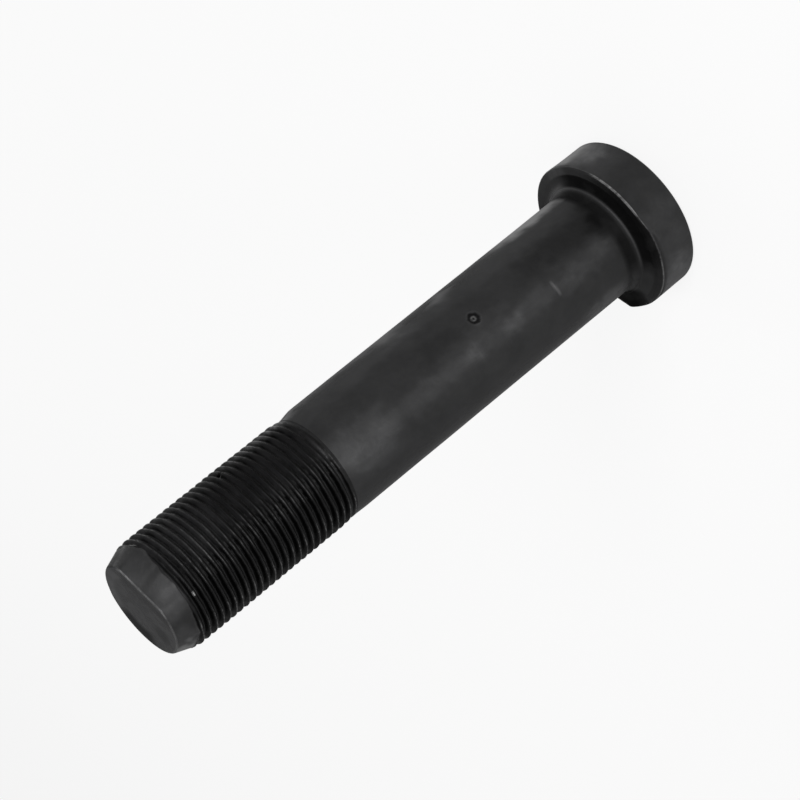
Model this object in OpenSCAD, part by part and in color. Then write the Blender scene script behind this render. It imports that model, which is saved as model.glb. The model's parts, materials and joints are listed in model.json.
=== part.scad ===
// Wheel stud: one forged steel bolt with a D shaped head, a plain shank and a
// rolled fine thread that ends in a smooth lead cone.
// It stands on its head. The origin is the centre of the head's outer face, and +Z runs
// to the tip. The flat on the head faces -Y.

/* [Length] */
// Length from the seat under the head to the end of the tip
under_head_l = 114.7; // [90:0.1:140]

/* [Head] */
// Diameter of the head
head_d = 31.8; // [30:0.1:44]
// Height of the head
head_h = 9.2; // [5:0.1:16]
// Distance from the stud's axis to the flat on the head
flat_to_axis = 13.1; // [11.5:0.1:15]
// Radius round the outer face of the head
head_edge_r = 0.6; // [0.3:0.1:2]
// Width of the bevel round the seat under the head
seat_bevel = 0.4; // [0.2:0.1:1.2]

/* [Shank] */
// Diameter of the plain shank
shank_d = 21.9; // [20.5:0.1:24]
// Length of the plain shank, from the seat to the shoulder
shank_l = 70.6; // [50:0.1:76]
// Radius of the fillet that joins the shank to the head
neck_r = 3; // [1:0.25:4]
// Length of the shoulder that narrows to the thread's blank
shoulder_l = 3; // [1:0.5:6]

/* [Thread] */
// Outer diameter of the thread
thread_d = 21.9; // [20:0.05:24]
// Pitch of the thread
thread_pitch = 1.5; // [1.25:0.25:2]
// Number of turns in which the thread rises at its shank end
run_in_turns = 2; // [1:0.5:3]
// Number of turns in which the thread fades at the lead cone
run_out_turns = 1.5; // [0.5:0.5:3]
// Angle at which the first crest leaves the shoulder
thread_start_a = 270; // [0:5:355]

/* [Tip] */
// Length of the smooth lead cone
tip_l = 3.2; // [2:0.1:6]
// Angle between the lead cone and the axis
tip_angle = 20.5; // [10:0.5:30]
// Radius round the end face
tip_edge_r = 0.4; // [0.1:0.1:1]

/* [Hardness mark] */
// Diameter of the ball mark in the shank
mark_d = 2.3; // [1:0.1:4]
// Depth of the ball mark
mark_depth = 0.25; // [0.1:0.05:0.5]
// Height of the ball mark above the seat
mark_z = 36.2; // [10:0.1:40]
// Angle of the ball mark round the shank
mark_a = 75; // [0:5:355]

/* [Hidden] */
$fn = 96;

steel = [0.2, 0.2, 0.21];
oiled_steel = [0.12, 0.12, 0.13];

head_r = head_d / 2;
shank_r = shank_d / 2;
overall_l = head_h + under_head_l;

// A metric thread: flanks at 60 degrees, and 17/24 of the sharp triangle as its depth
flank_a = 30;
sharp_h = thread_pitch / (2 * tan(flank_a));
thread_depth = sharp_h * 17 / 24;
crest_r = thread_d / 2;
root_r = crest_r - thread_depth;
// Rolling pushes metal up as far as down, so the blank is near the middle of the depth
blank_r = crest_r - thread_depth / 2;
crest_w = thread_pitch / 8;
root_w = thread_pitch - crest_w - 2 * thread_depth * tan(flank_a);

shoulder_z = head_h + shank_l;
thread_z = shoulder_z + shoulder_l;
cone_z = overall_l - tip_l;
tip_r = blank_r - tip_l * tan(tip_angle);
// The round at the end face takes this much off its radius
edge_cut = tip_edge_r * tan((90 - tip_angle) / 2);

arc_steps = 8;
turn_steps = 40;
// Heights of the profile's four corners within one turn, from the middle of a crest
corner_z = [
    -crest_w / 2,
    crest_w / 2,
    thread_pitch / 2 - root_w / 2,
    thread_pitch / 2 + root_w / 2
];
corner_r = [crest_r, crest_r, root_r, root_r];
// Both ends of the thread's skin sink into the blank, this far along and this far inside it
cap_sink = thread_pitch / 5;
cap_inset = thread_depth / 8;
// Corners closer than this to the shoulder or the cone are drawn on the sunk cap
cap_snap = thread_pitch / 40;
start_cap = [blank_r - cap_inset, thread_z - cap_sink];
end_cap = [blank_r - cap_inset - cap_sink * tan(tip_angle), cone_z + cap_sink];
// The blank's core inside the thread
core_r = root_r - thread_depth;

// Points along an arc round a centre, from one angle to another
function arc(x, y, r, from_a, to_a) = [
    for (i = [0:arc_steps])
        let (a = from_a + (to_a - from_a) * i / arc_steps)
        [x + r * cos(a), y + r * sin(a)]
];

function blend(a, b, t) = a + (b - a) * t;
function clamp(x, low, high) = max(low, min(high, x));

// Half sections of the blank's stretches, from the head to the tip
head_outline = concat(
    [[0, 0]],
    arc(head_r - head_edge_r, head_edge_r, head_edge_r, -90, 0),
    [[head_r, head_h - seat_bevel], [head_r - seat_bevel, head_h]]
);
shank_outline = concat(
    arc(shank_r + neck_r, head_h + neck_r, neck_r, -90, -180),
    [[shank_r, shoulder_z], [blank_r, thread_z]]
);
core_outline = [[core_r, thread_z], [core_r, cone_z]];
tip_outline = concat(
    [[blank_r, cone_z]],
    arc(tip_r - edge_cut, overall_l - tip_edge_r, tip_edge_r, tip_angle, 90),
    [[0, overall_l]]
);

// The forged and turned blank: head, fillet, shank, shoulder, thread core and lead cone
module blank() {
    difference() {
        rotate_extrude()
            polygon(concat(head_outline, shank_outline, core_outline, tip_outline));
        translate([-head_d, -flat_to_axis - head_d, -head_h])
            cube([2 * head_d, head_d, 2 * head_h + overall_l]);
    }
}

// The mark that a hardness tester's ball leaves
module ball_mark() {
    ball_r = (pow(mark_d / 2, 2) + pow(mark_depth, 2)) / (2 * mark_depth);
    rotate([0, 0, mark_a])
        translate([shank_r + ball_r - mark_depth, 0, head_h + mark_z])
            sphere(r = ball_r);
}

// How much of the full thread stands at a height, from 0 at a cap to 1
function thread_rise(z) =
    clamp((z - thread_z) / (run_in_turns * thread_pitch), 0, 1)
    * clamp((cone_z - z) / (run_out_turns * thread_pitch), 0, 1);

// The thread is one closed skin whose corners follow the helix round the bolt.
// Each column of corners stands at one angle. A column holds the same corners as the
// one before it, a little higher, and after a full turn it is four corners on.
turns_below = 2;
rows = 4 * (ceil((cone_z - thread_z) / thread_pitch) + 2 * turns_below + 1);

function row_z(col, row) =
    let (
        turn = floor(row / 4) - turns_below,
        a = 360 * col / turn_steps - thread_start_a
    )
    thread_z + thread_pitch * (turn + a / 360) + corner_z[row % 4];

function row_point(col, row) =
    let (
        z = row_z(col, row),
        skin_r = blend(blank_r - cap_inset, corner_r[row % 4], thread_rise(z)),
        p = z < thread_z + cap_snap ? start_cap : z > cone_z - cap_snap ? end_cap : [skin_r, z],
        a = 360 * col / turn_steps
    )
    [p[0] * cos(a), p[0] * sin(a), p[1]];

// The last row of a column on the first cap, and the first row on the other cap
function first_row(col) =
    max([for (row = [0:rows - 1]) if (row_z(col, row) < thread_z + cap_snap) row]);
function last_row(col) =
    min([for (row = [0:rows - 1]) if (row_z(col, row) > cone_z - cap_snap) row]);

module thread() {
    first = [for (col = [0:turn_steps - 1]) first_row(col)];
    last = [for (col = [0:turn_steps - 1]) last_row(col)];
    points = [for (col = [0:turn_steps - 1]) for (row = [0:rows - 1]) row_point(col, row)];
    skin = [
        for (col = [0:turn_steps - 1])
        for (row = [0:rows - 5])
            let (
                next = (col + 1) % turn_steps,
                step = col + 1 == turn_steps ? 4 : 0,
                a = col * rows + clamp(row, first[col], last[col]),
                b = next * rows + clamp(row + step, first[next], last[next]),
                c = next * rows + clamp(row + 1 + step, first[next], last[next]),
                d = col * rows + clamp(row + 1, first[col], last[col])
            )
            each [if (a != d) [a, d, b], if (b != c) [b, d, c]]
    ];
    start_face = [for (col = [0:turn_steps - 1]) col * rows + first[col]];
    end_face = [for (col = [turn_steps - 1:-1:0]) col * rows + last[col]];
    polyhedron(points, concat(skin, [start_face, end_face]), convexity = 4);
}

module wheel_stud() {
    difference() {
        union() {
            color(steel) blank();
            color(oiled_steel) thread();
        }
        color(steel) ball_mark();
    }
}

wheel_stud();
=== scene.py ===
# Wheel stud: one forged bolt that stands on its head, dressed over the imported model
import json
import math

import bmesh
import bpy
import numpy as np
from mathutils import Matrix, Vector, noise


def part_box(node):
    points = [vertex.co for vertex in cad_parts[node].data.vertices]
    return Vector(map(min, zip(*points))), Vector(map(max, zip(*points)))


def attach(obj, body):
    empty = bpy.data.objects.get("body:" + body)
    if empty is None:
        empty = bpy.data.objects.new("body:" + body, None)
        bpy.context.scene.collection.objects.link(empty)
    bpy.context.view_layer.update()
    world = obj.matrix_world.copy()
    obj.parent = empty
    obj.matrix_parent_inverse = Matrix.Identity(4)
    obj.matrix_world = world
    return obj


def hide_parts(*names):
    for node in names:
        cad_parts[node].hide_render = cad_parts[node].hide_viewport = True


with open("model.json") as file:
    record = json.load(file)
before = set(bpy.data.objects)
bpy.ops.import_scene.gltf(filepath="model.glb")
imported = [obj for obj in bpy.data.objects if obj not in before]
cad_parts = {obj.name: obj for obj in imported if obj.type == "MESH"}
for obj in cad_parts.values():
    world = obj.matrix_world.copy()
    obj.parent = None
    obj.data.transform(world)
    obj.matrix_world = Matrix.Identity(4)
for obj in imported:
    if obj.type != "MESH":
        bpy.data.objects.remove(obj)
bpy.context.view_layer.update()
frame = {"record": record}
mm = 0.001

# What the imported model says, in millimetres
mounts = {m["name"]: m for m in frame["record"]["mounts"]}
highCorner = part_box("wheel_stud")[1]
headRadius = highCorner.x / mm
tipZ = highCorner.z / mm
seatZ = mounts["seat"]["pos_m"][2] / mm
flatDistance = -mounts["head_flat"]["pos_m"][1] / mm
shankRadius = mounts["shank"]["dims"]["r_mm"]
coneZ = mounts["thread"]["pos_m"][2] / mm

# The camera looks down on the near side of the stud, whose axis slopes in the picture
print("camera")
view = {
    "nearSide": 59.7,           # the direction round the stud that faces the camera, degrees
    "elevation": 23.84,         # degrees above the floor
    "roll": 39.09,              # slope of the stud's axis in the picture, degrees
    "aimAboveSeat": 52.75,      # mm
    "aimAside": 0.09,           # mm towards the lower right
    "distance": 435.4,          # mm
    "lens": 108.96,             # mm, on a sensor 36 mm wide
}


def onCircle(angle):
    turn = math.radians(angle)
    return Vector((math.cos(turn), math.sin(turn), 0))


def fromAside(aside):
    # Marks are placed by how far round they are from the camera, towards the lower right
    return view["nearSide"] - aside


def toAside(angle):
    return (view["nearSide"] - angle + 180) % 360 - 180


forwards = onCircle(fromAside(0))
sideways = onCircle(fromAside(90))
tilt = math.radians(view["elevation"])
roll = math.radians(view["roll"])
upwards = Vector((0, 0, 1))
alongPicture = math.cos(tilt) * upwards - math.sin(tilt) * forwards
towardsCamera = math.sin(tilt) * upwards + math.cos(tilt) * forwards
aim = Vector((0, 0, seatZ + view["aimAboveSeat"])) + view["aimAside"] * sideways


def makeCamera():
    right = -math.cos(roll) * alongPicture + math.sin(roll) * sideways
    top = -math.sin(roll) * alongPicture - math.cos(roll) * sideways
    camera = bpy.data.objects.new("camera", bpy.data.cameras.new("camera"))
    camera.data.lens = view["lens"]
    camera.data.sensor_width = 36
    camera.data.clip_start = 0.01
    axes = Matrix((right, top, towardsCamera)).transposed().to_4x4()
    axes.translation = (aim + view["distance"] * towardsCamera) * mm
    camera.matrix_world = axes
    bpy.context.scene.collection.objects.link(camera)
    bpy.context.scene.camera = camera


makeCamera()
bpy.context.scene.view_settings.view_transform = "Standard"

# The stud's mesh. Heights are above the seat under the head, in millimetres
print("stud mesh")
stud = {
    "columns": 168,             # corners round the stud
    "headEdge": 0.55,           # radius round the outer face
    "headLean": 0.08,           # how much thinner the head is on its upper left side
    "seatFlare": 0.18,          # how much the head widens there towards the seat
    "seatEdge": 0.22,           # bevel round the seat, and how much wider it is at the lower right
    "seatEdgeMore": 0.42,
    "seatEdgeNear": 0.12,       # the same on the near side
    "neckRadius": 3.0,          # fillet under the head
    "neckRidge": 0.1,           # height of the ridge round the middle of the fillet
    "shankTaper": 0.15,         # how much thinner the shank is at its far end
    "shankFlare": 0.05,         # how much it widens at the head on its upper left side
    "shoulderStart": 70.4,
    "threadStart": 73.6,
    "blankRadius": 10.58,       # at the end of the shoulder
    "blankShift": 0.2,          # how far the blank sits off centre, to the lower right
    "threadShift": 0.09,        # the same for the thread
    "crestRadius": 10.96,
    "pitch": 1.5,
    "crestHeight": 76.89,       # a crest's height on the lower right side
    "riseTurns": 2.0,           # turns in which the thread rises, and fades at the cone
    "fadeTurns": 1.3,
    "coneRadius": 10.46,        # where the lead cone begins
    "coneAngle": 20.5,
    "coneReach": 0.95,          # how much further the cone reaches on the near side
    "coneSwell": 0.12,          # how much it widens for each mm of that
    "tipEdge": 0.38,            # radius round the end face
    "endHollow": 0.06,          # how deep the middle of the end face lies
    "unevenness": 0.035,        # depth of the forging's waves
    "crestWear": 0.09,          # how much lower the worn stretches of the crests are
    "crestChips": 0.08,         # depth of the fine chips along the crests
    "crestWander": 0.09,        # how far a crest strays along the stud, in long and in short waves
    "crestShiver": 0.06,
}
# The end face is cut short along a chord on the near side
tipChord = {"aside": -21, "distance": 7.7}
ballMark = {"height": 36.15, "aside": -15.8, "width": 2.5, "depth": 0.28, "lip": 0.04}
nick = {"height": 19.55, "aside": 11.5, "length": 3.6, "width": 0.75, "depth": 0.06, "slope": 6}
crestDent = {"height": 90.2, "aside": -69, "length": 3.0, "width": 0.6, "depth": 0.5, "slope": 34}
crestChip = {"height": 108.6, "aside": 18.7, "length": 0.9, "width": 0.7, "depth": 0.03, "slope": 0}

# Paler and darker clouds of the coat, with painted highlights along the upper left edges of the head,
# shank and thread, on the right edges of the head and shank, and in a stripe down the middle of the
# shank: height, degrees aside, reach along, reach round, strength
cloudsAndHighlights = [
    (37, 11, 60, 11, 0.35), (7, 11, 2.2, 6, 0.12), (14, 14, 2.6, 6, 0.12), (30.5, 12, 2.4, 10, 0.38),
    (41, 10, 2.3, 7, 0.42), (68, 8, 8, 24, 0.34), (68, -5, 8, 8, 0.2), (67, 24, 8, 8, 0.22),
    (68, 34, 8, 10, 0.25), (36, -5, 7, 8, 0.22), (15, -66, 9, 8, 0.5), (14, -76, 8, 7, 0.3),
    (10.5, -79, 9.5, 17, 1.2), (20, -52, 36, 14, 0.25), (37, -63, 3.4, 9, 0.6), (48, -60, 4, 11, 0.35),
    (52, -76, 8, 12, 0.8), (60, -52, 20, 13, 0.25), (66, -78, 5, 11, 0.5), (10, 67, 6, 13, 0.7),
    (12, -20, 13, 16, -0.45), (3.2, -8, 2.1, 32, -0.8), (5, -14, 2.4, 10, -0.4), (45, -18, 5, 12, -0.22),
    (-4.6, -62, 5, 15, 1.1), (-4.6, -82, 5, 13, 1.2), (-4.6, -40, 5, 12, 0.3),
    (-4.6, 66, 5, 16, 0.8), (-4.6, 40, 5, 20, 0.3),
    (111.5, -8, 2.4, 16, 0.1), (110.5, 4, 1.6, 12, 0.25), (113, -80, 3, 9, -0.6),
    (113.4, -40, 3, 20, 0.45), (113.4, 14, 3, 16, 0.55), (113.4, 66, 3, 28, 0.6),
    (103, -34, 7, 34, 0.7), (79, -74, 9, 10, 1.6), (98, -77, 13, 12, 0.7),
]
# Painted highlights, shown as pale bare metal, on the upper left edges of the head and shank and on the
# cone's lower right, in the same values
paintedHighlights = [
    (11, -77, 9.5, 15, 0.9), (36, -68, 3, 7, 0.25), (48.5, -75, 3.2, 13, 0.2),
    (-4.6, -80, 5.5, 15, 0.8), (-2.4, -74, 1.1, 9, 0.45), (-6.9, -71, 1.3, 9, 0.35),
    (113, 83, 2.0, 12, 0.75), (112.3, 62, 1.0, 4, 0.25),
]

# One turn of the thread, as shares of the pitch from the middle of a crest
phases = [0, 0.05, 0.085, 0.14, 0.25, 0.36, 0.41, 0.46, 0.54, 0.59, 0.64, 0.75, 0.86, 0.915]


def smoothStep(low, high, value):
    t = np.clip((value - low) / (high - low), 0, 1)
    return t * t * (3 - 2 * t)


def plateau(low, high, soft, value):
    # 1 between low and high, and 0 outside, with soft borders
    return float(smoothStep(low - soft, low + soft, value) * smoothStep(high + soft, high - soft, value))


def softMin(a, b, width):
    t = np.clip(0.5 + 0.5 * (b - a) / width, 0, 1)
    return b * (1 - t) + a * t - width * t * (1 - t)


def softMax(a, b, width):
    return -softMin(-a, -b, width)


def waves(x, y, z, size, seed):
    return noise.noise(Vector((x, y, z)) / size + Vector((seed, 2 * seed, -seed)))


def threadRadius(phase):
    flank = math.sqrt(3)
    depth = stud["pitch"] * 0.6134
    fromCrest = np.abs((phase + 0.5) % 1 - 0.5)
    line = stud["crestRadius"] - (fromCrest - 1 / 16) * stud["pitch"] * flank
    line = softMin(line, stud["crestRadius"], 0.09)
    return softMax(line, stud["crestRadius"] - depth, 0.16)


def columnAngles():
    even = list(np.arange(0, 360, 360 / stud["columns"]))
    corner = math.degrees(math.acos(flatDistance / headRadius))
    close = (-1.6, -0.8, -0.3, 0, 0.3, 0.8, 1.6)   # extra columns, so that the flat's edges are crisp
    extra = [(270 + side * corner + step) % 360 for side in (-1, 1) for step in close]
    kept = [a for a in even if min(abs(a - e) for e in extra) > 0.5]
    return np.array(sorted(kept + extra))


def arcRows(centreR, centreZ, radius, start, stop, count):
    turns = np.radians(np.linspace(start, stop, count))
    return [(centreR + radius * math.cos(t), centreZ + radius * math.sin(t)) for t in turns]


def headRows():
    edge = stud["headEdge"]
    rows = [(r, 0.0) for r in (3.5, 7, 10.5, 13, headRadius - edge - 0.5)]
    rows += arcRows(headRadius - edge, edge, edge, -90, 0, 8)
    rows += [(headRadius, z) for z in np.linspace(edge + 0.7, seatZ - 1.0, 9)]
    return rows


def rimRow(share, aside):
    # Share 0 to 1 runs over the bevel round the seat, from the head's side to the seat
    bevel = stud["seatEdge"] + stud["seatEdgeMore"] * plateau(14, 110, 9, aside)
    bevel += stud["seatEdgeNear"] * plateau(-44, 4, 10, aside)
    ease = 0.024 * max(0.0, 1 - min(share, 1 - share) / 0.18)   # softens the bevel's two corners
    return headRadius - bevel * share - ease, seatZ - bevel * (1 - share) - ease


def neckRows():
    # The fillet is two hollows with a faint ridge between them
    neck = stud["neckRadius"]
    rows = []
    for psi in (90, 80, 70, 60, 53, 49, 46, 44.5, 43, 41.5, 40, 37, 33, 26, 17, 8, 0):
        reach = neck - stud["neckRidge"] * math.exp(-((psi - 43) / 4.5) ** 2)
        turn = math.radians(psi)
        radius = shankRadius + neck - reach * math.cos(turn)
        rows.append((radius, seatZ + neck - reach * math.sin(turn), psi))
    return rows


def shankHeights():
    start = stud["neckRadius"]
    heights = list(np.linspace(start, stud["shoulderStart"], 58)[1:])
    heights += list(np.linspace(stud["shoulderStart"], stud["threadStart"], 9)[1:])
    return [seatZ + h for h in heights]


def coneStart(aside):
    # The border of the cone wanders, and it lies lower on the near side
    low = stud["coneReach"] * plateau(-72, 68, 14, aside) + 0.7 * math.exp(-((aside + 47) / 15) ** 2)
    point = onCircle(fromAside(aside)) * stud["coneRadius"]
    return coneZ - low + 0.3 * waves(point.x, point.y, 0, 1.6, 9.1) * plateau(-80, 80, 10, aside)


def endRadius(aside):
    # The end face's own radius: round, but for the chord
    slope = math.tan(math.radians(stud["coneAngle"]))
    full = stud["coneRadius"] - (tipZ - coneZ) * slope + 0.15 * plateau(8, 60, 12, aside)
    off = math.cos(math.radians(aside - tipChord["aside"]))
    if off < 0.3:
        return full
    return float(softMin(full, tipChord["distance"] / off, 0.12))


def tipPoint(share, angle):
    # Share 0 to 1 runs up the cone, 1 to 2 round its edge and 2 to 3 to the middle of the end face
    aside = toAside(angle)
    edge = stud["tipEdge"] * (1 + 0.9 * plateau(-140, -64, 8, aside))
    outer = endRadius(aside)
    cut = edge * math.tan(math.radians(90 - stud["coneAngle"]) / 2)
    bend = math.radians(stud["coneAngle"])
    if share <= 1:
        low = coneStart(aside)
        high = tipZ - edge + edge * math.sin(bend)
        z = low + (high - low) * share
        lowRadius = stud["coneRadius"] + (coneZ - low) * stud["coneSwell"]
        r = lowRadius + (outer - cut + edge * math.cos(bend) - lowRadius) * share
    elif share <= 2:
        turn = bend + (share - 1) * (math.pi / 2 - bend)
        r = outer - cut + edge * math.cos(turn)
        z = tipZ - edge + edge * math.sin(turn)
    else:
        inner = 3 - share
        r = (outer - cut) * inner
        z = tipZ - stud["endHollow"] * (1 - inner ** 2)
    x, y = math.cos(math.radians(angle)), math.sin(math.radians(angle))
    if 0 < share < 2:
        r -= stud["unevenness"] * (0.5 + 0.5 * waves(r * x, r * y, z, 5, 3.1))
    r += stud["threadShift"] * math.cos(math.radians(90 - aside)) * min(1.0, 3 - share)
    return r * x, r * y, z


def ringPoint(radius, z, angle):
    # A point of the forging at one angle, with its flat, its taper and its uneven skin
    turn = math.radians(angle)
    x, y = math.cos(turn), math.sin(turn)
    facing = math.sin(math.radians(toAside(angle)))
    height = z - seatZ
    r = radius
    if height > stud["neckRadius"] - 0.01:
        share = height / stud["threadStart"]
        r += stud["shankTaper"] * (0.5 - share)
        r += stud["shankFlare"] * (1 - float(smoothStep(4, 14, height))) * max(0.0, -facing)
        blank = stud["blankRadius"] + stud["blankShift"] * facing
        r += (blank - r) * float(smoothStep(stud["shoulderStart"], stud["threadStart"] + 0.2, height))
    elif radius > shankRadius + 3.01 and height < 0.01:
        flare = stud["seatFlare"] * max(0.0, -facing) * (z / seatZ) ** 4
        r += (stud["headLean"] * (facing - 1) + flare) * min(1.0, radius / headRadius)
    if z > 0.01:
        r -= stud["unevenness"] * (0.5 + 0.5 * waves(r * x, r * y, z, 9, 3.1))
        r -= stud["unevenness"] * 0.35 * (0.5 + 0.5 * waves(r * x, r * y, z, 2.6, 7.7))
    if y < 0 and height < stud["neckRadius"]:
        flatRadius = flatDistance / max(-y, 1e-6)
        if flatRadius < r + 0.5:
            r = float(softMin(r, flatRadius, 0.12))
    return r * x, r * y, z


def threadGrid(angles):
    # Columns of corners that climb with the helix, clamped at both ends of the thread
    pitch = stud["pitch"]
    start = seatZ + stud["threadStart"]
    turns = range(-2, int((coneZ - start) / pitch) + 4)
    heights = np.array([turn + p for turn in turns for p in phases]) * pitch
    phase = np.tile(phases, len(turns))
    crest = seatZ + stud["crestHeight"]
    crestNow = crest - pitch * math.floor((crest - start) / pitch)
    columns = []
    for angle in angles:
        aside = toAside(angle)
        stop = coneStart(aside)
        z = heights + crestNow + pitch * (angle - fromAside(90)) / 360
        r = threadRadius(phase)
        rise = smoothStep(start - 0.6, start + stud["riseTurns"] * pitch, z)
        fade = 1 - smoothStep(stop - stud["fadeTurns"] * pitch, stop + 0.9, z)
        facing = math.sin(math.radians(aside))
        blank = stud["blankRadius"] + stud["blankShift"] * facing * (1 - smoothStep(start, start + 4, z))
        coneLow = stud["coneRadius"] + (coneZ - stop) * stud["coneSwell"]
        blank = blank + (coneLow - blank) * smoothStep(stop - 4, stop, z)
        r = blank + (r - blank) * rise * fade
        r = r + stud["threadShift"] * facing * rise
        columns.append((z, r, phase))
    return columns


def cloudToneAndLight(height, aside, places=cloudsAndHighlights):
    # How pale the coat is at a place, painted highlights included. Clouds are flat in the middle, and
    # their borders wander
    u, v = height / 2.2, aside / 11.5
    height += 1.3 * noise.noise(Vector((u, v, 3.7))) + 0.5 * noise.noise(Vector((2.7 * u, 2.7 * v, 8.1)))
    aside += 7 * noise.noise(Vector((u, v, 21.3))) + 3 * noise.noise(Vector((2.7 * u, 2.7 * v, 5.5)))
    toneAndShading = 0.0
    for middle, side, along, around, strength in places:
        away = ((height - middle) / along) ** 2 + ((aside - side) / around) ** 2
        if away < 2.5:
            toneAndShading += strength * math.exp(-away ** 2)
    return toneAndShading


def neckShadeAndHighlight(psi, aside):
    # Painted shade darkens both hollows of the fillet on the near side and at its lower right end, and a
    # painted highlight shows pale along the ridge between them on the near side
    near = plateau(-72, 50, 12, aside)
    ridge = plateau(-88, 46, 8, aside) * math.exp(-((psi - 43) / 3.5) ** 2)
    hollows = plateau(50, 100, 4, psi) + 0.6 * plateau(-20, 34, 9, psi)
    end = plateau(92, 126, 7, aside) * plateau(24, 100, 8, psi)
    return 0.5 * ridge - near * 1.9 * hollows - 1.8 * end


# Painted shade darkens the seat on the near side and beside the shank at the lower right, and painted
# light makes it paler at the upper left
def seatShadeAndLight(aside):
    dark = 1.5 * plateau(-30, 50, 20, aside) + 0.3 * plateau(60, 90, 10, aside)
    dark += 2.4 * plateau(94, 122, 6, aside)
    return 0.2 * plateau(-120, -66, 10, aside) + 0.5 * plateau(-90, -68, 4, aside) - dark


def endToneAndShade(radius, aside):
    # The end face is pale, but dark inside the chord and at the right, and paler round its outer left
    # part; the crescent at the far rim is painted shade, where the rim turns away
    turn = math.radians(aside)
    near = radius * math.cos(math.radians(aside - tipChord["aside"]))
    right = math.hypot(radius * math.cos(turn) - 0.8, radius * math.sin(turn) - 5.6)
    dark = 0.35 * plateau(4.6, 6.8, 0.8, near) + 0.5 * math.exp(-(right / 1.9) ** 4)
    dark += 1.1 * plateau(6, 20, 0.5, radius) * plateau(134, 192, 8, aside % 360)
    return 0.65 - dark + 0.35 * plateau(6.6, 20, 0.5, radius) * plateau(-156, -60, 10, aside)


def bump(value, middle, width):
    return math.exp(-((value - middle) / width) ** 2)


def threadWearAndShading(phase, height, aside):
    # How bright the crest shows, partly wear and partly painted highlight, how dark the flank that faces
    # the tip shows as painted shade, and the coat's tone.
    # The valleys on the near left side are painted paler and the crests there darker, to even out their
    # shading, the crests are painted highlight bands at the upper left, and the roots are painted paler
    # on the right
    evenedShading = plateau(-47, -8, 12, aside) * plateau(60, 98, 3, height)
    middle = plateau(-8, 18, 8, aside) * plateau(60, 108, 3, height)
    right = plateau(16, 200, 9, aside)
    ends = plateau(70, 89, 3, height) + plateau(104, 120, 2, height)
    left = plateau(-200, -60, 8, aside) * (0.35 + 0.65 * ends)
    fromCrest = abs((phase + 0.5) % 1 - 0.5)
    line = left + 0.5 * middle + 0.9 * plateau(46, 200, 9, aside)
    line += 0.3 * plateau(-60, 0, 12, aside) * plateau(99, 120, 2, height)
    # Crest lines, partly wear and partly painted highlight, and a second painted highlight line along
    # the flank in the middle
    edge = max(0.0, 1 - fromCrest / 0.12) * min(1.0, line) + 0.6 * middle * bump(phase, 0.37, 0.06)
    flank = bump(phase, 0.25 + 0.1 * plateau(-200, -5, 10, aside), 0.13)
    litBands = plateau(-200, -54, 8, aside) * (0.8 + 0.2 * plateau(70, 92, 3, height))
    # Painted shade on the flank that faces the tip, stronger on the right and in the upper left bands
    hollowAndShade = flank * (1 - evenedShading) * (0.4 + 0.6 * plateau(2, 200, 10, aside) + 0.5 * litBands)
    crest = max(0.0, 1 - fromCrest / 0.2)
    # Painted paler valleys and darker crests on the near left, painted paler roots on the right, and
    # painted highlight bands on the crests at the upper left
    toneAndShading = evenedShading * (0.45 - 1.1 * crest) + 0.5 * right * bump(phase, 0.5, 0.14)
    toneAndShading += 0.9 * litBands * bump(fromCrest, 0, 0.16)
    return edge, hollowAndShade, toneAndShading


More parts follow.
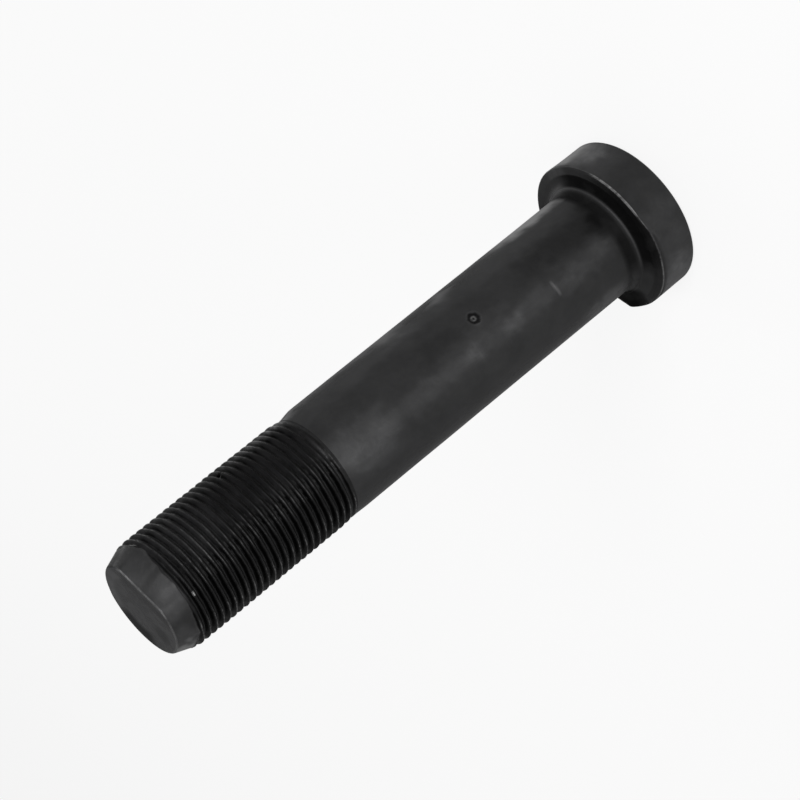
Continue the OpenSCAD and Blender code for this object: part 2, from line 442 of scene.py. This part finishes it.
def buildStud():
    angles = columnAngles()
    asides = [toAside(angle) for angle in angles]
    count = len(angles)
    points = []
    faces = []
    threadFaces = set()
    edge = []       # how near a corner is to an edge that wears bright, and on the thread where a painted highlight line runs
    hollowAndShade = []     # how much oil darkens it where it lies deep, and painted shade on the thread's flanks
    toneAndShading = []       # how much paler or darker the coat is there, painted highlights and shade included
    bareAndHighlight = []       # how far the coat has rubbed off to pale metal, and painted highlights shown as pale metal

    def addPoint(point, edgeValue=0.0, hollowAndShadeValue=0.0, toneAndShadingValue=0.0, bareAndHighlightValue=0.0):
        points.append(point)
        edge.append(edgeValue)
        hollowAndShade.append(hollowAndShadeValue)
        toneAndShading.append(toneAndShadingValue)
        bareAndHighlight.append(bareAndHighlightValue)
        return len(points) - 1

    def joinRings(lower, upper):
        for i in range(count):
            j = (i + 1) % count
            faces.append((lower[i], lower[j], upper[j], upper[i]))

    # the head, from the middle of its outer face
    middle = addPoint((0.0, 0.0, 0.0))
    before = None
    for radius, z in headRows():
        onFoot = radius > headRadius - stud["headEdge"] * 0.6 and z < stud["headEdge"] * 0.6
        footWear = 0.4 if onFoot else 0.0
        ring = [addPoint(ringPoint(radius, z, angle), footWear, 0.0,
                         cloudToneAndLight(z - seatZ, aside), cloudToneAndLight(z - seatZ, aside, paintedHighlights))
                for angle, aside in zip(angles, asides)]
        if before is None:
            for i in range(count):
                faces.append((middle, ring[(i + 1) % count], ring[i]))
        else:
            joinRings(before, ring)
        before = ring

    # the seat and the bevel round it, which has rubbed bright on the near side
    for share in (-0.5, -0.2, 0, 0.12, 0.3, 0.7, 0.88, 1):
        ring = []
        for angle, aside in zip(angles, asides):
            radius, z = rimRow(max(0.0, share), aside)
            z += min(0.0, share) * 0.7
            rub = plateau(-40, 8, 10, aside)
            wear = 0.0
            if -0.1 < share < 0.2:
                wear = 0.25 + 0.75 * rub + 0.35 * plateau(40, 84, 8, aside)
            elif 0 < share < 0.8:
                wear = (0.25 + 0.75 * rub + 0.35 * plateau(40, 84, 8, aside)) * 0.85 * rub
            shade = cloudToneAndLight(z - seatZ, aside) if share < 0.1 else seatShadeAndLight(aside)
            ring.append(addPoint(ringPoint(radius, z, angle), wear, 0.0, shade))
        joinRings(before, ring)
        before = ring
    for step in (0.9, 1.3, 1.6):
        ring = [addPoint(ringPoint(headRadius - step, seatZ, angle), 0.0, 0.0, seatShadeAndLight(aside))
                for angle, aside in zip(angles, asides)]
        joinRings(before, ring)
        before = ring

    # the fillet, the shank and the shoulder
    for radius, z, psi in neckRows():
        ring = [addPoint(ringPoint(radius, z, angle), 0.0, 0.0, neckShadeAndHighlight(psi, aside))
                for angle, aside in zip(angles, asides)]
        joinRings(before, ring)
        before = ring
    for z in shankHeights():
        ring = [addPoint(ringPoint(shankRadius, z, angle), 0.0, 0.0,
                         cloudToneAndLight(z - seatZ, aside), cloudToneAndLight(z - seatZ, aside, paintedHighlights))
                for angle, aside in zip(angles, asides)]
        joinRings(before, ring)
        before = ring
    shoulderRing = before

    # the thread
    columns = threadGrid(angles)
    rowsPerTurn = len(phases)
    nearStart = seatZ + stud["threadStart"] + 0.05
    coneRing = []
    indexOf = []
    for i, angle in enumerate(angles):
        aside = asides[i]
        x, y = math.cos(math.radians(angle)), math.sin(math.radians(angle))
        z, r, phase = columns[i]
        first = max(k for k in range(len(z)) if z[k] < nearStart)
        last = min(k for k in range(len(z)) if z[k] > coneStart(aside) - 0.05)
        index = {}
        for k in range(first + 1, last):
            radius = r[k]
            fromCrest = abs((phase[k] + 0.5) % 1 - 0.5)
            worn = max(0.0, waves(radius * x, radius * y, z[k], 5.5, 11.3) + 0.25)
            crest = max(0.0, 1 - fromCrest / 0.16)
            radius -= crest * stud["crestWear"] * worn
            chips = 0.5 + 0.5 * waves(radius * x, radius * y, z[k], 1.1, 5.9)
            radius -= crest * stud["crestChips"] * chips
            wander = stud["crestWander"] * waves(radius * x, radius * y, z[k], 4, 17.1)
            wander += stud["crestShiver"] * waves(radius * x, radius * y, z[k], 1.5, 2.3)
            height = z[k] - seatZ
            wear, oiledAndShaded, shade = threadWearAndShading(phase[k], height, aside)
            shade += cloudToneAndLight(height, aside)
            index[k] = addPoint((radius * x, radius * y, z[k] + wander), wear, oiledAndShaded, shade)
        coneRing.append(addPoint(tipPoint(0, angle), 0.0, 0.3, cloudToneAndLight(coneZ - seatZ, aside)))
        for k in range(0, first + 1):
            index[k] = shoulderRing[i]
        for k in range(last, len(z)):
            index[k] = coneRing[i]
        indexOf.append(index)
    total = len(columns[0][0])
    for i in range(count):
        j = (i + 1) % count
        step = rowsPerTurn if j == 0 else 0
        for k in range(total - 1 - step):
            face = []
            here, there = indexOf[i], indexOf[j]
            for corner in (here[k], there[k + step], there[k + step + 1], here[k + 1]):
                if corner not in face:
                    face.append(corner)
            if len(face) > 2:
                threadFaces.add(len(faces))
                faces.append(tuple(face))

    # the lead cone and the end face
    shares = list(np.linspace(0, 1, 9)[1:]) + list(np.linspace(1, 2, 6)[1:])
    shares += [2.03, 2.08, 2.14, 2.2, 2.26, 2.33, 2.41, 2.5, 2.6, 2.7, 2.85]
    before = coneRing
    for share in shares:
        ring = []
        for angle, aside in zip(angles, asides):
            point = tipPoint(share, angle)
            rub = 0.4 * plateau(-62, 200, 5, aside) + 0.25 * plateau(-58, -40, 6, aside)
            wear = rub if 1.05 < share < 2.02 else 0.0
            onCone = share < 1.5
            shade = endToneAndShade(math.hypot(*point[:2]), aside)
            coneHighlight = 0.0
            if onCone:
                shade = cloudToneAndLight(point[2] - seatZ, aside)
                coneHighlight = cloudToneAndLight(point[2] - seatZ, aside, paintedHighlights)
            ring.append(addPoint(point, wear, 0.0, shade, coneHighlight))
        joinRings(before, ring)
        before = ring
    middle = addPoint((0.0, 0.0, tipZ - stud["endHollow"]), 0.0, 0.0, endToneAndShade(0.0, 0.0))
    for i in range(count):
        faces.append((before[i], before[(i + 1) % count], middle))

    mesh = bpy.data.meshes.new("stud")
    mesh.from_pydata(points, [], faces)
    finishes = [1 if i in threadFaces else 0 for i in range(len(faces))]
    mesh.polygons.foreach_set("material_index", finishes)
    for name, values in (("edge", edge), ("hollowAndShade", hollowAndShade), ("toneAndShading", toneAndShading), ("bareAndHighlight", bareAndHighlight)):
        mesh.attributes.new(name, "FLOAT", "POINT").data.foreach_set("value", values)
    return mesh


def markFrame(mark):
    # The middle of a mark on the skin, and the directions out of and round the stud there
    out = onCircle(fromAside(mark["aside"]))
    radius = stud["crestRadius"] if mark in (crestDent, crestChip) else shankRadius
    around = onCircle(fromAside(mark["aside"]) + 90)
    return out * radius + Vector((0, 0, seatZ + mark["height"])), out, around


def refineAround(bm, mark, reach, cuts):
    centre = markFrame(mark)[0]
    near = [f for f in bm.faces if (f.calc_center_median() - centre).length < reach]
    edges = list({e for f in near for e in f.edges})
    bmesh.ops.subdivide_edges(bm, edges=edges, cuts=cuts, use_grid_fill=True)


def pressBallMark(bm, bareAndHighlight, toneAndShading):
    centre, out = markFrame(ballMark)[:2]
    half = ballMark["width"] / 2
    for v in bm.verts:
        offset = v.co - centre
        reach = (offset - out * offset.dot(out)).length / half
        if offset.length < 3 * half and reach < 1.9:
            ragged = reach * (1 + 0.3 * waves(v.co.x, v.co.y, v.co.z, 0.7, 4.4))
            bowl = max(0.0, 1 - reach ** 2)
            lip = math.exp(-((reach - 1.12) / 0.13) ** 2)
            inner = math.exp(-((reach - 0.32) / 0.13) ** 2)
            v.co -= out * (ballMark["depth"] * bowl ** 0.7 - ballMark["lip"] * lip)
            v[toneAndShading] += -1.4 * float(smoothStep(1.05, 0.72, ragged)) * (1 - inner) + 0.25 * lip
            v[bareAndHighlight] = max(v[bareAndHighlight], 0.3 * inner)


def pressGroove(bm, mark, bareAndHighlight, toneAndShading, bareAndHighlightValue, toneAndShadingValue):
    centre, out, around = markFrame(mark)
    slope = math.radians(mark["slope"])
    along = around * math.cos(slope) + upwards * math.sin(slope)
    across = upwards * math.cos(slope) - around * math.sin(slope)
    for v in bm.verts:
        offset = v.co - centre
        if offset.length < mark["length"]:
            s = abs(offset.dot(along)) / (mark["length"] / 2)
            t = abs(offset.dot(across)) / (mark["width"] / 2)
            if s < 1 and t < 1:
                press = (1 - s ** 4) * (1 - t * t)
                v.co -= out * mark["depth"] * press
                v[bareAndHighlight] = max(v[bareAndHighlight], bareAndHighlightValue * press)
                v[toneAndShading] += toneAndShadingValue * press


def makeStud():
    mesh = buildStud()
    bm = bmesh.new()
    bm.from_mesh(mesh)
    bmesh.ops.remove_doubles(bm, verts=bm.verts, dist=0.0008)   # mm, where two rows run together
    bareAndHighlight = bm.verts.layers.float["bareAndHighlight"]
    toneAndShading = bm.verts.layers.float["toneAndShading"]
    refineAround(bm, ballMark, 2.2, 3)
    refineAround(bm, nick, 2.2, 3)
    refineAround(bm, crestDent, 2.0, 1)
    refineAround(bm, crestChip, 0.9, 1)
    pressBallMark(bm, bareAndHighlight, toneAndShading)
    pressGroove(bm, nick, bareAndHighlight, toneAndShading, 0.07, 0.6)
    pressGroove(bm, crestDent, bareAndHighlight, toneAndShading, 0.0, -3.0)
    pressGroove(bm, crestChip, bareAndHighlight, toneAndShading, 1.0, 0.0)
    bmesh.ops.recalc_face_normals(bm, faces=bm.faces)
    for face in bm.faces:
        face.smooth = True
    bmesh.ops.scale(bm, vec=(mm, mm, mm), verts=bm.verts)
    bm.to_mesh(mesh)
    bm.free()
    triangles = sum(len(p.vertices) - 2 for p in mesh.polygons)
    print("stud triangles", triangles)
    piece = bpy.data.objects.new("stud", mesh)
    bpy.context.scene.collection.objects.link(piece)
    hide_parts("wheel_stud")
    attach(piece, "root")
    return piece


studPiece = makeStud()

# Shader helpers


def addNode(tree, kind, inputs=None, **settings):
    made = tree.nodes.new(kind)
    for name, value in settings.items():
        setattr(made, name, value)
    for key, value in (inputs or {}).items():
        if isinstance(value, bpy.types.NodeSocket):
            tree.links.new(value, made.inputs[key])
        else:
            made.inputs[key].default_value = value
    return made


def calc(tree, operation, a, b=0.0, c=0.0, clamp=False):
    made = addNode(tree, "ShaderNodeMath", {0: a, 1: b, 2: c}, operation=operation, use_clamp=clamp)
    return made.outputs[0]


def remap(tree, value, low, high, toLow=0.0, toHigh=1.0):
    made = addNode(tree, "ShaderNodeMapRange", {
        "Value": value, "From Min": low, "From Max": high, "To Min": toLow, "To Max": toHigh,
    }, interpolation_type="SMOOTHSTEP")
    return made.outputs["Result"]


def mixColour(tree, amount, a, b):
    made = addNode(tree, "ShaderNodeMix", data_type="RGBA")
    for key, value in ((0, amount), (6, a), (7, b)):
        if isinstance(value, bpy.types.NodeSocket):
            tree.links.new(value, made.inputs[key])
        else:
            made.inputs[key].default_value = value
    return made.outputs[2]


def grey(value):
    return (value, value, value, 1)


def noiseAt(tree, vector, scale, detail=2.0, roughness=0.5, distortion=0.0):
    made = addNode(tree, "ShaderNodeTexNoise", {
        "Vector": vector, "Scale": scale, "Detail": detail, "Roughness": roughness,
        "Distortion": distortion,
    })
    return made.outputs["Fac"]


def newGroup(name, inputs, outputs):
    tree = bpy.data.node_groups.new(name, "ShaderNodeTree")
    for label, kind, value in inputs:
        socket = tree.interface.new_socket(label, in_out="INPUT", socket_type=kind)
        if value is not None:
            socket.default_value = value
    for label, kind in outputs:
        tree.interface.new_socket(label, in_out="OUTPUT", socket_type=kind)
    return tree, addNode(tree, "NodeGroupInput"), addNode(tree, "NodeGroupOutput")


def useGroup(tree, group, inputs):
    return addNode(tree, "ShaderNodeGroup", inputs, node_tree=group)


# Effects that both finishes share
print("shader groups")


def makeCoatPatches():
    # Cloudy patches of a phosphate coat: wide clouds, small blots and a fine mottle
    tree, source, result = newGroup(
        "coat patches",
        [("Vector", "NodeSocketVector", None), ("Size", "NodeSocketFloat", 6.0),
         ("Contrast", "NodeSocketFloat", 1.0)],
        [("Patch", "NodeSocketFloat"), ("Blot", "NodeSocketFloat")],
    )
    vector = source.outputs["Vector"]
    scale = calc(tree, "DIVIDE", 1000.0, source.outputs["Size"])
    wide = noiseAt(tree, vector, scale, 3.0, 0.55, 0.4)
    small = noiseAt(tree, vector, calc(tree, "MULTIPLY", scale, 3.7), 4.0, 0.6, 0.8)
    blot = remap(tree, noiseAt(tree, vector, calc(tree, "MULTIPLY", scale, 1.9), 1.0, 0.4), 0.55, 0.7)
    both = calc(tree, "MULTIPLY_ADD", small, 0.35, calc(tree, "MULTIPLY", wide, 0.65))
    spread = calc(tree, "SUBTRACT", both, 0.5)
    gain = calc(tree, "MULTIPLY", source.outputs["Contrast"], 2.6)
    patch = calc(tree, "MULTIPLY_ADD", spread, gain, 0.5, clamp=True)
    tree.links.new(patch, result.inputs["Patch"])
    tree.links.new(blot, result.inputs["Blot"])
    return tree


def makeSkinGrain():
    # The crystals of the coat and the forging scale under it, as a height and as speckle
    tree, source, result = newGroup(
        "skin grain",
        [("Vector", "NodeSocketVector", None), ("Size", "NodeSocketFloat", 0.25),
         ("Waves", "NodeSocketFloat", 0.5)],
        [("Height", "NodeSocketFloat"), ("Speckle", "NodeSocketFloat")],
    )
    vector = source.outputs["Vector"]
    scale = calc(tree, "DIVIDE", 1000.0, source.outputs["Size"])
    fine = noiseAt(tree, vector, scale, 3.0, 0.6)
    wide = noiseAt(tree, vector, calc(tree, "MULTIPLY", scale, 0.11), 2.0, 0.5)
    height = calc(tree, "MULTIPLY_ADD", wide, source.outputs["Waves"], calc(tree, "MULTIPLY", fine, 0.3))
    tree.links.new(height, result.inputs["Height"])
    tree.links.new(fine, result.inputs["Speckle"])
    return tree


def makeWornAndLitEdge():
    # Bright metal where an edge has rubbed, and painted highlight lines along the thread, broken up
    # along its length
    tree, source, result = newGroup(
        "worn and lit edge",
        [("Edge", "NodeSocketFloat", 0.0), ("Vector", "NodeSocketVector", None),
         ("Amount", "NodeSocketFloat", 0.5), ("Break Size", "NodeSocketFloat", 2.0)],
        [("Mask", "NodeSocketFloat")],
    )
    scale = calc(tree, "DIVIDE", 1000.0, source.outputs["Break Size"])
    breaks = noiseAt(tree, source.outputs["Vector"], scale, 4.0, 0.65, 0.3)
    limit = calc(tree, "SUBTRACT", 1.0, source.outputs["Amount"])
    above = calc(tree, "SUBTRACT", breaks, calc(tree, "MULTIPLY", limit, 0.75))
    kept = calc(tree, "MULTIPLY", above, 4.0, clamp=True)
    mask = calc(tree, "MULTIPLY", kept, calc(tree, "POWER", source.outputs["Edge"], 1.5), clamp=True)
    tree.links.new(mask, result.inputs["Mask"])
    return tree


def makeOilAndShadeFilm():
    # Oil and dirt that stay in hollows, and painted shade on the thread's flanks, with a ragged border
    tree, source, result = newGroup(
        "oil film",
        [("Hollow And Shade", "NodeSocketFloat", 0.0), ("Vector", "NodeSocketVector", None),
         ("Amount", "NodeSocketFloat", 1.0)],
        [("Mask", "NodeSocketFloat")],
    )
    rag = noiseAt(tree, source.outputs["Vector"], 700.0, 3.0, 0.6)
    raised = calc(tree, "MULTIPLY_ADD", calc(tree, "SUBTRACT", rag, 0.5), 0.6, source.outputs["Hollow And Shade"])
    mask = calc(tree, "MULTIPLY", remap(tree, raised, 0.15, 0.85), source.outputs["Amount"], clamp=True)
    tree.links.new(mask, result.inputs["Mask"])
    return tree


def makeTonedCoat():
    # The coat's colour: two greys mixed by the patches, then made paler or darker by the tone, which
    # carries painted highlights and shade as well
    tree, source, result = newGroup(
        "toned coat",
        [("Patch", "NodeSocketFloat", 0.5), ("Dark", "NodeSocketFloat", 0.01),
         ("Pale", "NodeSocketFloat", 0.03), ("Tone And Shading", "NodeSocketFloat", 0.0),
         ("Vector", "NodeSocketVector", None)],
        [("Color", "NodeSocketColor")],
    )
    ragged = noiseAt(tree, source.outputs["Vector"], 520.0, 3.0, 0.6, 0.5)
    toneAndShading = calc(tree, "MULTIPLY", source.outputs["Tone And Shading"], calc(tree, "MULTIPLY_ADD", ragged, 0.8, 0.6))
    spread = calc(tree, "SUBTRACT", source.outputs["Pale"], source.outputs["Dark"])
    value = calc(tree, "MULTIPLY_ADD", source.outputs["Patch"], spread, source.outputs["Dark"])
    value = calc(tree, "MULTIPLY", value, calc(tree, "EXPONENT", toneAndShading))
    colour = addNode(tree, "ShaderNodeCombineColor", {
        0: value, 1: value, 2: calc(tree, "MULTIPLY", value, 1.02)})
    tree.links.new(colour.outputs[0], result.inputs["Color"])
    return tree


coatPatches = makeCoatPatches()
skinGrain = makeSkinGrain()
wornAndLitEdge = makeWornAndLitEdge()
oilAndShadeFilm = makeOilAndShadeFilm()
tonedCoat = makeTonedCoat()


def startMaterial(name, finish):
    material = bpy.data.materials.new(name)
    material.use_nodes = True
    tree = material.node_tree
    shader = next(n for n in tree.nodes if n.type == "BSDF_PRINCIPLED")
    shader.inputs["Specular IOR Level"].default_value = finish["specular"]
    shader.inputs["Specular Tint"].default_value = grey(finish["edgeTint"])
    vector = addNode(tree, "ShaderNodeTexCoord").outputs["Object"]
    return material, tree, shader, vector


def readMask(tree, name):
    return addNode(tree, "ShaderNodeAttribute", attribute_name=name).outputs["Fac"]


# The forged and phosphated skin of the head, shank and cone. Its sizes are in millimetres
print("forged skin")
forged = {
    "dark": 0.022, "pale": 0.033, "blot": 0.044, "oiledAndShaded": 0.004, "bareAndHighlightColour": 0.36,
    "metallic": 0.5, "rough": 0.46, "roughSpread": 0.1, "oilRough": 0.32,
    "dullness": 0.25,           # how much rougher the darkest coat is
    "specular": 0.3, "edgeTint": 0.3,
    "wear": 0.58, "wearBreaks": 2.2, "oilAndShade": 0.9, "bareAndHighlightShare": 0.75,
    "patchSize": 7.0, "contrast": 1.0, "grainSize": 0.22, "waves": 0.8, "relief": 0.35,
}


def makeForgedSkin():
    material, tree, shader, vector = startMaterial("phosphated steel", forged)
    patches = useGroup(tree, coatPatches, {
        "Vector": vector, "Size": forged["patchSize"], "Contrast": forged["contrast"]})
    grain = useGroup(tree, skinGrain, {
        "Vector": vector, "Size": forged["grainSize"], "Waves": forged["waves"]})
    worn = useGroup(tree, wornAndLitEdge, {
        "Edge": readMask(tree, "edge"), "Vector": vector,
        "Amount": forged["wear"], "Break Size": forged["wearBreaks"]})
    oilAndShade = useGroup(tree, oilAndShadeFilm, {
        "Hollow And Shade": readMask(tree, "hollowAndShade"), "Vector": vector, "Amount": forged["oilAndShade"]})
    # Pale bare metal on rubbed edges, and for the painted highlights
    bareAndHighlightMask = calc(tree, "MAXIMUM", worn.outputs["Mask"], readMask(tree, "bareAndHighlight"))
    coat = useGroup(tree, tonedCoat, {
        "Patch": patches.outputs["Patch"], "Dark": forged["dark"], "Pale": forged["pale"],
        "Tone And Shading": readMask(tree, "toneAndShading"), "Vector": vector}).outputs["Color"]
    blot = calc(tree, "MULTIPLY", patches.outputs["Blot"], 0.12)
    coat = mixColour(tree, blot, coat, grey(forged["blot"]))
    speck = remap(tree, grain.outputs["Speckle"], 0.62, 0.75, 0.0, 0.25)
    coat = mixColour(tree, speck, coat, grey(forged["blot"]))
    # Oil and painted shade from the hollow mask darken the coat
    coat = mixColour(tree, oilAndShade.outputs["Mask"], coat, grey(forged["oiledAndShaded"]))
    bareAndHighlightShare = calc(tree, "MULTIPLY", bareAndHighlightMask, forged["bareAndHighlightShare"])
    coat = mixColour(tree, bareAndHighlightShare, coat, grey(forged["bareAndHighlightColour"]))
    tree.links.new(coat, shader.inputs["Base Color"])
    rough = calc(tree, "MULTIPLY_ADD", patches.outputs["Patch"], forged["roughSpread"], forged["rough"])
    wet = calc(tree, "MULTIPLY", oilAndShade.outputs["Mask"], forged["rough"] - forged["oilRough"])
    rough = calc(tree, "SUBTRACT", rough, wet, clamp=True)
    dull = calc(tree, "MULTIPLY", readMask(tree, "toneAndShading"), -forged["dullness"], clamp=True)
    rough = calc(tree, "ADD", rough, dull, clamp=True)
    tree.links.new(rough, shader.inputs["Roughness"])
    metal = calc(tree, "MULTIPLY_ADD", bareAndHighlightMask, 0.9 - forged["metallic"], forged["metallic"])
    tree.links.new(metal, shader.inputs["Metallic"])
    relief = addNode(tree, "ShaderNodeBump", {
        "Strength": forged["relief"], "Distance": 0.00012, "Height": grain.outputs["Height"]})
    tree.links.new(relief.outputs["Normal"], shader.inputs["Normal"])
    return material


# The rolled thread, black with oil, in the same values
print("rolled thread")
rolled = {
    "dark": 0.009, "pale": 0.016, "crest": 0.02, "oiledAndShaded": 0.0015, "bareAndHighlightColour": 0.28,
    "metallic": 0.5, "rough": 0.4, "roughSpread": 0.16, "oilRough": 0.3,
    "specular": 0.22, "edgeTint": 0.25,
    "wear": 0.45, "wearBreaks": 1.1, "oilAndShade": 1.0, "bareAndHighlightShare": 0.8,
    "patchSize": 5.0, "contrast": 1.3, "grainSize": 0.3, "waves": 0.5, "relief": 0.3,
}


def makeRolledThread():
    material, tree, shader, vector = startMaterial("oiled thread", rolled)
    patches = useGroup(tree, coatPatches, {
        "Vector": vector, "Size": rolled["patchSize"], "Contrast": rolled["contrast"]})
    grain = useGroup(tree, skinGrain, {
        "Vector": vector, "Size": rolled["grainSize"], "Waves": rolled["waves"]})
    edgeMask = readMask(tree, "edge")
    worn = useGroup(tree, wornAndLitEdge, {
        "Edge": edgeMask, "Vector": vector,
        "Amount": rolled["wear"], "Break Size": rolled["wearBreaks"]})
    oilAndShade = useGroup(tree, oilAndShadeFilm, {
        "Hollow And Shade": readMask(tree, "hollowAndShade"), "Vector": vector, "Amount": rolled["oilAndShade"]})
    coat = useGroup(tree, tonedCoat, {
        "Patch": patches.outputs["Patch"], "Dark": rolled["dark"], "Pale": rolled["pale"],
        "Tone And Shading": readMask(tree, "toneAndShading"), "Vector": vector}).outputs["Color"]
    # Crest lines painted paler, partly wear and partly painted highlight
    coat = mixColour(tree, calc(tree, "MULTIPLY", edgeMask, 0.5), coat, grey(rolled["crest"]))
    # Painted shade on the flanks that face the tip darkens the thread, on top of its oil
    coat = mixColour(tree, oilAndShade.outputs["Mask"], coat, grey(rolled["oiledAndShaded"]))
    # Crest lines turn to pale metal, partly rubbed and partly painted highlight
    rubbedAndLitCrest = calc(tree, "MULTIPLY", worn.outputs["Mask"], rolled["bareAndHighlightShare"])
    bareAndHighlightMask = calc(tree, "MAXIMUM", rubbedAndLitCrest, readMask(tree, "bareAndHighlight"))
    coat = mixColour(tree, bareAndHighlightMask, coat, grey(rolled["bareAndHighlightColour"]))
    tree.links.new(coat, shader.inputs["Base Color"])
    rough = calc(tree, "MULTIPLY_ADD", patches.outputs["Patch"], rolled["roughSpread"], rolled["rough"])
    wet = calc(tree, "MULTIPLY", oilAndShade.outputs["Mask"], rolled["rough"] - rolled["oilRough"])
    rough = calc(tree, "SUBTRACT", rough, wet, clamp=True)
    tree.links.new(rough, shader.inputs["Roughness"])
    metal = calc(tree, "MULTIPLY_ADD", bareAndHighlightMask, 0.9 - rolled["metallic"], rolled["metallic"])
    tree.links.new(metal, shader.inputs["Metallic"])
    relief = addNode(tree, "ShaderNodeBump", {
        "Strength": rolled["relief"], "Distance": 0.0001, "Height": grain.outputs["Height"]})
    tree.links.new(relief.outputs["Normal"], shader.inputs["Normal"])
    return material


studPiece.data.materials.append(makeForgedSkin())
studPiece.data.materials.append(makeRolledThread())

# The floor, the world and the lamps
print("studio")
studio = {
    "floorSize": 60.0,          # metres, so that its edge stays far off
    "floorColour": 0.8,
    "paleShare": 0.85,          # how much of the floor is plain white to the camera and in reflections
    "horizon": 0.38,            # the world's brightness, low and high
    "zenith": 0.34,
}
# Each lamp's place: degrees round from the camera towards the lower right, and up
lamps = {
    "front": {"round": -20, "up": 52, "distance": 0.7, "size": 0.25, "power": 2.2},
    "low": {"round": 22, "up": 4, "distance": 0.7, "size": 0.16, "power": 1.7},
    "rim": {"round": -140, "up": 6, "distance": 0.7, "size": 0.25, "power": 0.9},
    "top": {"round": 160, "up": 80, "distance": 0.7, "size": 0.3, "power": 1.3},
}


def makeFloor():
    half = studio["floorSize"] / 2
    bm = bmesh.new()
    bmesh.ops.create_grid(bm, x_segments=1, y_segments=1, size=half)
    mesh = bpy.data.meshes.new("floor")
    bm.to_mesh(mesh)
    bm.free()
    floor = bpy.data.objects.new("floor", mesh)
    bpy.context.scene.collection.objects.link(floor)
    material = bpy.data.materials.new("pale floor")
    material.use_nodes = True
    tree = material.node_tree
    tree.nodes.clear()
    rays = addNode(tree, "ShaderNodeLightPath")
    seen = calc(tree, "MAXIMUM", rays.outputs["Is Camera Ray"], rays.outputs["Is Glossy Ray"])
    seen = calc(tree, "MAXIMUM", seen, rays.outputs["Is Transmission Ray"])
    share = calc(tree, "MULTIPLY", seen, studio["paleShare"])
    matt = addNode(tree, "ShaderNodeBsdfDiffuse", {"Color": grey(studio["floorColour"])})
    white = addNode(tree, "ShaderNodeEmission", {"Color": grey(1.0), "Strength": 1.0})
    mixed = addNode(tree, "ShaderNodeMixShader", {0: share, 1: matt.outputs[0], 2: white.outputs[0]})
    addNode(tree, "ShaderNodeOutputMaterial", {"Surface": mixed.outputs[0]})
    mesh.materials.append(material)


def makeWorld():
    world = bpy.data.worlds.new("studio")
    bpy.context.scene.world = world
    world.use_nodes = True
    tree = world.node_tree
    back = next(n for n in tree.nodes if n.type == "BACKGROUND")
    direction = addNode(tree, "ShaderNodeTexCoord").outputs["Generated"]
    height = addNode(tree, "ShaderNodeSeparateXYZ", {0: direction}).outputs["Z"]
    fade = remap(tree, height, 0.1, 0.9)
    colour = mixColour(tree, fade, grey(studio["horizon"]), grey(studio["zenith"]))
    tree.links.new(colour, back.inputs["Color"])


def makeLamps():
    for name, values in lamps.items():
        level = onCircle(fromAside(values["round"]))
        up = math.radians(values["up"])
        way = math.cos(up) * level + math.sin(up) * upwards
        lamp = bpy.data.lights.new(name, "AREA")
        lamp.shape = "SQUARE"
        lamp.size = values["size"]
        lamp.energy = values["power"]
        holder = bpy.data.objects.new(name, lamp)
        holder.location = aim * mm + way * values["distance"]
        holder.rotation_euler = way.to_track_quat("Z", "Y").to_euler()
        bpy.context.scene.collection.objects.link(holder)


makeFloor()
makeWorld()
makeLamps()

print("done")
